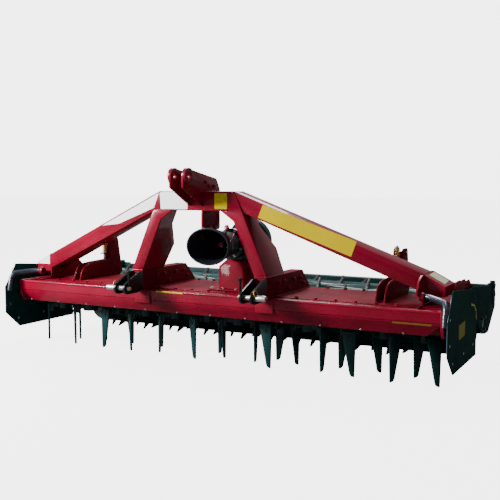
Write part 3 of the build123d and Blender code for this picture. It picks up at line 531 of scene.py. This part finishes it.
# Headstock: crossbar, two legs of folded plate and long feet, welded up from sheet and painted,
# with blank film labels on the crossbar's face and the feet bolted through.
label_white = enamel("white_film", (1.0, 0.98, 0.98), (0.92, 0.9, 0.9), 0.35, 0.0, peel=0.0,
                     wear=0.0)
label_yellow = enamel("yellow_film", (0.58, 0.44, 0.0), (0.5, 0.37, 0.0), 0.5, 0.0, peel=0.0,
                      wear=0.0, specular=0.0)
for node in ("headstock_crossbar", "headstock_leg_left", "headstock_leg_right"):
    dress(node, red, 0.003)
dress("headstock_feet", shaded_rough_red, 0.003)
mast_front, foot_outer, foot_inner, foot_top = -57, 494, 409, 606
plate_label("crossbar_label_white",
            [at(-262, mast_front, 1006), at(-62, mast_front, 1006),
             at(-62, mast_front, 1111), at(-268, mast_front, 1111)], (0, -1, 0), label_white)
plate_label("crossbar_label_yellow",
            [at(135, mast_front, 1011), at(223, mast_front, 1011),
             at(223, mast_front, 1108), at(135, mast_front, 1108)], (0, -1, 0), label_yellow)
headstock_welds = []
for side in (-1, 1):
    headstock_welds += [
        (at(side * 237, mast_front, 999), at(side * 324, mast_front, 999)),
        (at(side * foot_inner, mast_front, foot_top), at(side * foot_outer, mast_front, foot_top)),
        (at(side * foot_outer, -50, foot_top), at(side * foot_outer, 190, foot_top)),
        (at(side * 495, 76, 478), at(side * 495, 590, 478)),
        (at(side * 408, 76, 478), at(side * 408, 590, 478)),
    ]
welds("headstock_welds", headstock_welds, 0.0035)
foot_holes = ((110, 560), (190, 560), (330, 560), (430, 560), (250, 510), (480, 520))
foot_bolts = []
for side in (-1, 1):
    for back, up in foot_holes:
        foot_bolts.append((at(side * foot_outer, back, up), (side, 0, 0)))
        foot_bolts.append((at(side * foot_inner, back, up), (-side, 0, 0)))
bolts("foot_bolts", foot_bolts, 0.022, red)


# Top link bracket: two thick cheeks let over the crossbar, bored for the top link's pin, with
# turned bosses and a row of clamping screws.
dress("top_link_bracket", red, 0.003)
cheek_face = 50
cheek_holes = ((20, 1150), (80, 1150), (120, 1110), (-20, 1176))
cheek_bolts = [(at(side * cheek_face, back, up), (side, 0, 0))
               for side in (-1, 1) for back, up in cheek_holes]
bolts("cheek_bolts", cheek_bolts, 0.018, red)


# Lower link forks: black ears cut from plate on the headstock's feet, with turned pins of
# bright steel, their handles and the spring clips that hold them.
black = enamel("black_enamel", (0.006, 0.006, 0.007), (0.011, 0.011, 0.012), 0.28, 0.3,
               edge=(0.1, 0.14, 0.2))
brass = enamel("brass_chromate", (0.55, 0.33, 0.09), (0.4, 0.22, 0.06), 0.3, 0.0, wear=0.1,
               specular=0.5, metallic=0.9)
dress("hitch_forks", black, 0.003)
dress("hitch_pins", steel, 0.001)
pin_back, pin_up = -217, 504
for side, hand in ((-1, "left"), (1, "right")):
    clear_selection()
    bpy.ops.mesh.primitive_cylinder_add(vertices=20, radius=0.008, depth=0.095,
                                        location=at(side * 401, pin_back, pin_up + 46))
    handle = bpy.context.object
    open_faces(handle, upward)
    for grow, rise in ((1.7, 0.004), (1.15, 0.010), (0.6, 0.007)):
        raise_faces(rise)
        bpy.ops.transform.resize(value=(grow, grow, 1))
    bpy.ops.object.mode_set(mode="OBJECT")
    handle.name = f"pin_handle_{hand}"
    ground_edges(handle, 0.001)
    seat(handle, black, "root")
pin_ends = [(at(side * 395, pin_back, pin_up), (-side, 0, 0)) for side in (-1, 1)]
bolts("pin_end_nuts", pin_ends, 0.017, brass)
for side, hand in ((-1, "left"), (1, "right")):
    clear_selection()
    bpy.ops.mesh.primitive_torus_add(major_segments=28, minor_segments=8, major_radius=0.022,
                                     minor_radius=0.003, rotation=(0, radians(75), 0),
                                     location=at(side * 503, pin_back, pin_up + 22))
    clip = bpy.context.object
    clip.name = f"pin_clip_{hand}"
    bpy.ops.object.shade_smooth()
    seat(clip, brass, "root")


# Braces: long tapered boxes of folded plate from the crossbar down to the trough's ends, with
# a bent box and a web at each outer end.
label_cream = enamel("cream_film", (0.55, 0.56, 0.36), (0.45, 0.46, 0.3), 0.35, 0.0, peel=0.0,
                     wear=0.0)
label_ochre = enamel("ochre_film", (0.16, 0.1, 0.012), (0.12, 0.075, 0.008), 0.5, 0.0, peel=0.0,
                     wear=0.0)
for node in ("brace_left", "brace_right", "tube_sleeves"):
    dress(node, red, 0.004)
end_boxes = dress("brace_end_boxes", red, 0)
web_face, cut_wide, cut_deep = 1381, 0.030, 0.196
for side, low, high in ((-1, 470, 700), (1, 470, 541)):
    clear_selection()
    bpy.ops.mesh.primitive_cube_add(size=1, location=at(side * web_face, 49, (low + high) / 2))
    cutter = bpy.context.object
    cutter.scale = (cut_wide, cut_deep, (high - low) / 1000)
    clear_selection()
    bpy.context.view_layer.objects.active = end_boxes
    end_boxes.select_set(True)
    cut = end_boxes.modifiers.new("cut", "BOOLEAN")
    cut.operation = "DIFFERENCE"
    cut.solver = "EXACT"
    cut.object = cutter
    bpy.ops.object.modifier_apply(modifier="cut")
    bpy.data.objects.remove(cutter)
ground_edges(end_boxes, 0.006)
brace_lean = 218 / 1169


def brace_front(across, up):
    """A place on a brace's front face."""
    return at(across, -68 + (abs(across) - 212) * brace_lean, up)


plate_label("brace_label_yellow", [brace_front(420, 962), brace_front(975, 742),
            brace_front(1006, 832), brace_front(450, 1040)], (brace_lean, -1, 0), label_yellow)
plate_label("brace_label_white", [brace_front(-652, 899), brace_front(-322, 1012),
            brace_front(-277, 1106), brace_front(-812, 882)], (-brace_lean, -1, 0), label_white)
box_slope = (65, 0, 125)
plate_label("end_box_label_cream", [at(1400, 205, 645), at(1490, 205, 598), at(1478, 345, 604),
            at(1392, 345, 649)], box_slope, label_cream)
plate_label("end_box_label_white", [at(-1500, 150, 581), at(-1390, 150, 581),
            at(-1390, 150, 648), at(-1500, 150, 590)], (0, -1, 0), label_white)
beam_label = [at(-345, -2.2, 459), at(-137, -2.2, 459), at(-137, -2.2, 468), at(-345, -2.2, 468)]
plate_label("beam_label_yellow", beam_label, (0, -1, 0), label_yellow, corner=0.002)
fold_label = [at(1250, 6, 388), at(1470, 6, 388), at(1470, 2, 398), at(1250, 2, 398)]
plate_label("fold_label_ochre", fold_label, slope, label_ochre, corner=0.002)
brace_welds = []
for side in (-1, 1):
    brace_welds += [
        (at(side * web_face, 150, 549), at(side * web_face, 150, 654)),
        (at(side * web_face, 151, 655), at(side * web_face, 329, 655)),
        (at(side * 1382, 40, 478), at(side * 1382, 462, 478)),
    ]
welds("brace_welds", brace_welds, 0.004)


# Side plates: stiff sheets hung on bent tubes that turn in short sleeves, with a pale blue bar
# along the front edge as a painted highlight, five round-headed bolts, and blank labels on the
# right-hand sheet, that label's yellow painted darker as painted shade.
tube_paint = enamel("dark_tube_enamel", (0.005, 0.012, 0.026), (0.003, 0.007, 0.016), 0.28, 0.45,
                    specular=0.5)
plate_paint = enamel("side_plate_enamel", (0.003, 0.028, 0.024), (0.002, 0.016, 0.016), 0.6, 0.0,
                     specular=0.03)
# The right-hand sheet's label: the yellow film's colour painted darker to an olive, as painted
# shade on a face turned from the key light.
shaded_yellow_label = enamel("yellow_film_painted_shade", (0.2, 0.18, 0.012), (0.13, 0.115, 0.008), 0.5, 0.0, peel=0.0,
                     wear=0.0)
olive_arc_colour = enamel("olive_arc", (0.42, 0.44, 0.09), (0.33, 0.35, 0.06), 0.5, 0.0, peel=0.0,
                   wear=0.0)
# A bar along each sheet's front edge, coloured pale blue far above the sheet's own dark green: a
# painted highlight.
edge_highlight_paint = enamel("painted_edge_highlight", (0.06, 0.09, 0.13), (0.04, 0.06, 0.09), 0.25, 0.4,
                    specular=0.5)
plate_limit, plate_bolt_face, label_face, edge_across = 1.587, 1579.7, 1586.9, 1582
plate_holes = ((17, 188), (279, 196), (524, 204), (-60, 440), (-60, 300))


def bent_bar(name, route, radius, finish, body="root"):
    """A round bar bent smoothly through the places given."""
    clear_selection()
    path = bpy.data.curves.new(name, "CURVE")
    path.dimensions = "3D"
    path.bevel_depth = radius
    path.bevel_resolution = 3
    path.use_fill_caps = True
    run = path.splines.new("NURBS")
    run.points.add(len(route) - 1)
    for point, place in zip(run.points, route):
        point.co = (*place, 1)
    run.order_u = 3
    run.use_endpoint_u = True
    piece = bpy.data.objects.new(name, path)
    bpy.context.scene.collection.objects.link(piece)
    bpy.context.view_layer.objects.active = piece
    piece.select_set(True)
    bpy.ops.object.convert(target="MESH")
    bpy.ops.object.shade_smooth_by_angle(angle=radians(40))
    return seat(bpy.context.object, finish, body)


for hand, side in (("left", -1), ("right", 1)):
    body = f"side_plate_{hand}"
    plate = dress(body, plate_paint, 0.002)
    for vertex in plate.data.vertices:
        if side * vertex.co.x > plate_limit:
            vertex.co.x = side * plate_limit
    dress(f"side_tube_{hand}", tube_paint, 0)
    plate_bolts = [(at(side * plate_bolt_face, back, up), (side, 0, 0))
                   for back, up in plate_holes]
    bolts(f"side_plate_bolts_{hand}", plate_bolts, 0.0138, steel, body)
plate_label("side_plate_label", [at(label_face, 148, 294), at(label_face, 296, 301),
            at(label_face, 295, 384), at(label_face, 139, 379)], (1, 0, 0), shaded_yellow_label,
            "side_plate_right")
# Three thin olive strips laid flat in an arc on the right-hand sheet's outer face, with no
# modelled part under them.
arc_run = ((455, 457), (540, 440), (590, 402), (612, 346))
for number in range(3):
    (back, up), (next_back, next_up) = arc_run[number], arc_run[number + 1]
    arc_corners = [at(label_face, back, up - 9), at(label_face, next_back - 14, next_up - 4),
                   at(label_face, next_back, next_up), at(label_face, back + 2, up + 6)]
    plate_label(f"side_plate_arc_{number}", arc_corners, (1, 0, 0), olive_arc_colour,
                "side_plate_right", corner=0.002)
front_edge = ((-26, 560), (-34, 520), (-100, 436), (-103, 420), (-103, 270))
for hand, side in (("left", -1), ("right", 1)):
    edge_route = [at(side * edge_across, back, up) for back, up in front_edge]
    bent_bar(f"side_plate_edge_{hand}", edge_route, 0.0028, edge_highlight_paint,
             f"side_plate_{hand}")


# Gearbox: a cast drum on a turret under the drive shaft, with bolted covers front and rear, a
# breather on its crown and a spring latch of red strip for the guard.
drive_x, drive_z = 125, 783
rear_cover, rear_circle, front_cover, front_circle = 455, 137, 155, 82
dress("gearbox", green, 0.004)
dress("gearbox_pedestal", shaded_rough_red, 0.004)


def on_circle(radius, back, degrees_round):
    """A place on a circle about the drive shaft's axis."""
    turn = radians(degrees_round)
    return at(drive_x + radius * cos(turn), back, drive_z + radius * sin(turn))


gearbox_bolts = [(on_circle(rear_circle, rear_cover, 15 + 30 * step), (0, 1, 0))
                 for step in range(12)]
gearbox_bolts += [(on_circle(front_circle, front_cover, 22.5 + 45 * step), (0, -1, 0))
                  for step in range(8)]
for across in (-132, -45, 45, 132):
    gearbox_bolts.append((at(drive_x + across, 148, 490), (0, 0, 1)))
    gearbox_bolts.append((at(drive_x + across, 412, 490), (0, 0, 1)))
bolts("gearbox_bolts", gearbox_bolts, 0.015, steel)
clear_selection()
bpy.ops.mesh.primitive_cylinder_add(vertices=24, radius=0.012, depth=0.014,
                                    location=at(drive_x, 270, 887))
breather = bpy.context.object
open_faces(breather, upward)
bpy.ops.mesh.inset(thickness=-0.004)
raise_faces(0.010)
bpy.ops.mesh.inset(thickness=0.005, depth=0.003)
bpy.ops.object.mode_set(mode="OBJECT")
breather.name = "gearbox_breather"
ground_edges(breather, 0.0008)
seat(breather, black, "root")
bent_bar("guard_latch", [at(212, -100, 868), at(238, -88, 846), at(252, -77, 816),
         at(252, -70, 811), at(246, -33, 832), at(237, 6, 854)], 0.006, red)
bent_bar("latch_stem", [at(190, -20, 848), at(193, -20, 864), at(198, -20, 880),
         at(200, -20, 893)], 0.005, black)
knob_lobes, lobe_depth = 6, 0.18
clear_selection()
bpy.ops.mesh.primitive_cylinder_add(vertices=24, radius=0.016, depth=0.012, location=(0, 0, 0))
knob = bpy.context.object
for vertex in knob.data.vertices:
    lobe = 1 + lobe_depth * cos(knob_lobes * atan2(vertex.co.y, vertex.co.x))
    vertex.co.x *= lobe
    vertex.co.y *= lobe
knob.data.transform(Matrix.Rotation(radians(70), 4, "X"))
knob.data.transform(Matrix.Translation(at(200, -22, 897)))
knob.name = "latch_knob"
ground_edges(knob, 0.0015)
seat(knob, red, "root")


# Drive shaft and its guard: a splined stub of bare steel in a flared hood of black plastic, with
# a rolled rim round the mouth and two ribs behind it, all of one moulding.
plastic = enamel("guard_plastic", (0.009, 0.009, 0.014), (0.014, 0.014, 0.02), 0.32, 0.3,
                 peel=0.12, edge=(0.03, 0.03, 0.03))
dress("pto_shaft", steel, 0.0008)
dress("pto_guard", plastic, 0)
clear_selection()
bpy.ops.mesh.primitive_cylinder_add(vertices=28, radius=0.016, depth=0.008,
                                    location=at(drive_x, 33, drive_z),
                                    rotation=(radians(90), 0, 0))
stub_cap = bpy.context.object
bpy.ops.object.mode_set(mode="EDIT")
bpy.ops.mesh.select_all(action="SELECT")
bpy.ops.mesh.bevel(offset=0.002, segments=2, affect="EDGES")
bpy.ops.object.mode_set(mode="OBJECT")
stub_cap.name = "stub_cap"
ground_edges(stub_cap, 0)
seat(stub_cap, red, "pto_shaft")
guard_ribs = []
for width, height, back in ((149, 112, -124), (132, 104, -83), (119, 99, -40)):
    clear_selection()
    bpy.ops.mesh.primitive_torus_add(major_segments=64, minor_segments=8, major_radius=1,
                                     minor_radius=0.03)
    rib = bpy.context.object
    rib.data.transform(Matrix.Diagonal((width / 1000, height / 1000, 0.1, 1)))
    rib.data.transform(Matrix.Rotation(radians(90), 4, "X"))
    rib.data.transform(Matrix.Translation(at(drive_x, back, drive_z)))
    guard_ribs.append(rib)
guard_rim = join(guard_ribs, "guard_rim")
bpy.ops.object.shade_smooth()
seat(guard_rim, plastic, "root")


# Levelling board's gear: posts of folded plate over the lid, each with a screwed spindle, its
# coil spring and lock nut, and the long board of thick plate hung behind the trough.
dress("leveller_brackets", shaded_rough_red, 0.004)
dress("levelling_board", red, 0.003)
leveller_x, spindle_back, spring_low, spring_high = 1130, 458, 650, 765
coil_radius, wire_radius, coil_turns = 0.0155, 0.0042, 7
spindle_rings = (
    # height, sides, radius, thickness: the lock nut and the spring's two washers
    (spring_high + 6, 6, 0.016, 0.012),
    (spring_high - 1, 24, 0.016, 0.003),
    (spring_low + 1.5, 24, 0.016, 0.003),
)
spindle_parts = []
for hand, side in (("left", -1), ("right", 1)):
    clear_selection()
    bpy.ops.mesh.primitive_cylinder_add(vertices=28, radius=0.009, depth=0.311,
                                        location=at(side * leveller_x, spindle_back, 631.5))
    rod = bpy.context.object
    open_faces(rod, upward)
    bpy.ops.mesh.bevel(offset=0.002, segments=2, affect="EDGES")
    bpy.ops.object.mode_set(mode="OBJECT")
    spindle_parts.append(rod)
    clear_selection()
    bpy.ops.mesh.primitive_circle_add(vertices=10, radius=wire_radius,
                                      location=(coil_radius, 0, 0), rotation=(radians(90), 0, 0))
    coil = bpy.context.object
    bpy.ops.object.transform_apply(location=True, rotation=True)
    winding = coil.modifiers.new("winding", "SCREW")
    winding.axis = "Z"
    winding.iterations = coil_turns
    winding.screw_offset = (spring_high - spring_low - 8) / (1000 * coil_turns)
    winding.steps = 18
    winding.render_steps = 18
    winding.use_normal_calculate = True
    bpy.ops.object.modifier_apply(modifier="winding")
    bpy.ops.object.mode_set(mode="EDIT")
    bpy.ops.mesh.select_all(action="DESELECT")
    bpy.ops.mesh.select_mode(type="EDGE")
    bpy.ops.mesh.select_non_manifold()
    bpy.ops.mesh.edge_face_add()
    bpy.ops.mesh.select_all(action="SELECT")
    bpy.ops.mesh.select_mode(type="VERT")
    bpy.ops.mesh.normals_make_consistent(inside=False)
    bpy.ops.object.mode_set(mode="OBJECT")
    bpy.ops.object.shade_smooth_by_angle(angle=radians(50))
    coil.data.transform(Matrix.Translation(at(side * leveller_x, spindle_back, spring_low + 4)))
    coil.name = f"leveller_spring_{hand}"
    seat(coil, brass, "root")
    for up, sides, radius, thick in spindle_rings:
        clear_selection()
        bpy.ops.mesh.primitive_cylinder_add(vertices=sides, radius=radius, depth=thick,
                                            location=at(side * leveller_x, spindle_back, up))
        spindle_parts.append(bpy.context.object)
spindles = join(spindle_parts, "leveller_spindles_shown")
seat(spindles, steel, "root", "leveller_spindles")
post_holes = ((533, 735), (533, 560), (604, 524))
leveller_bolts = []
for side in (-1, 1):
    for post_face, outward in ((1162, 1), (1098, -1)):
        for back, up in post_holes:
            leveller_bolts.append((at(side * post_face, back, up), (side * outward, 0, 0)))
bolts("leveller_bolts", leveller_bolts, 0.016, red)
board_bolts = [(at(number * 190, 633, 330), (0, 1, 0)) for number in range(-7, 8)]
bolts("levelling_board_bolts", board_bolts, 0.018, steel)


# Packer roller: a drum ringed by rows of hooked claws, carried by plate arms with square
# bearings, and a rear beam with a scraper between each pair of rows.
drum = enamel("roller_enamel", (0.006, 0.045, 0.042), (0.004, 0.03, 0.028), 0.3, 0.2,
              edge=(0.08, 0.1, 0.1), wear=0.5)
claw = enamel("claw_enamel", (0.002, 0.006, 0.007), (0.002, 0.004, 0.005), 0.4, 0.05,
              edge=(0.08, 0.1, 0.1), wear=0.5)
roller_axis, claw_foot, arm_face = at(0, 930, 262), 0.221, 1563
bearing_holes = ((890, 222), (970, 222), (890, 302), (970, 302))
beam_holes = ((1230, 410), (1294, 410), (1230, 474), (1294, 474))
roller = dress("roller", drum, 0)
roller.data.materials.append(claw)
for face in roller.data.polygons:
    if (face.center - roller_axis).yz.length > claw_foot:
        face.material_index = 1
for hand, side in (("left", -1), ("right", 1)):
    dress(f"roller_arm_{hand}", plate_paint, 0.002)
    arm_bolts = [(at(side * arm_face, back, up), (side, 0, 0))
                 for back, up in bearing_holes + beam_holes]
    bolts(f"roller_arm_bolts_{hand}", arm_bolts, 0.018, black, "roller_frame")
    clear_selection()
    bpy.ops.mesh.primitive_cylinder_add(vertices=28, radius=0.018, depth=0.150,
                                        location=at(side * 1560, 1246, 425))
    post = bpy.context.object
    bpy.ops.object.transform_apply(location=True)
    open_faces(post, upward)
    bpy.ops.mesh.inset(thickness=-0.007)
    raise_faces(0.008)
    bpy.ops.mesh.select_all(action="SELECT")
    bpy.ops.mesh.normals_make_consistent(inside=False)
    bpy.ops.object.mode_set(mode="OBJECT")
    post.name = f"arm_post_{hand}"
    ground_edges(post, 0.001)
    seat(post, green, "roller_frame")
dress("roller_bearings", black, 0.003)
dress("scraper_beam", green, 0.002)


# Depth quadrants: red plates at the trough's ends whose bumped tops stop the roller's arms at
# each working depth.
dress("depth_quadrants", shaded_rough_red, 0.002)
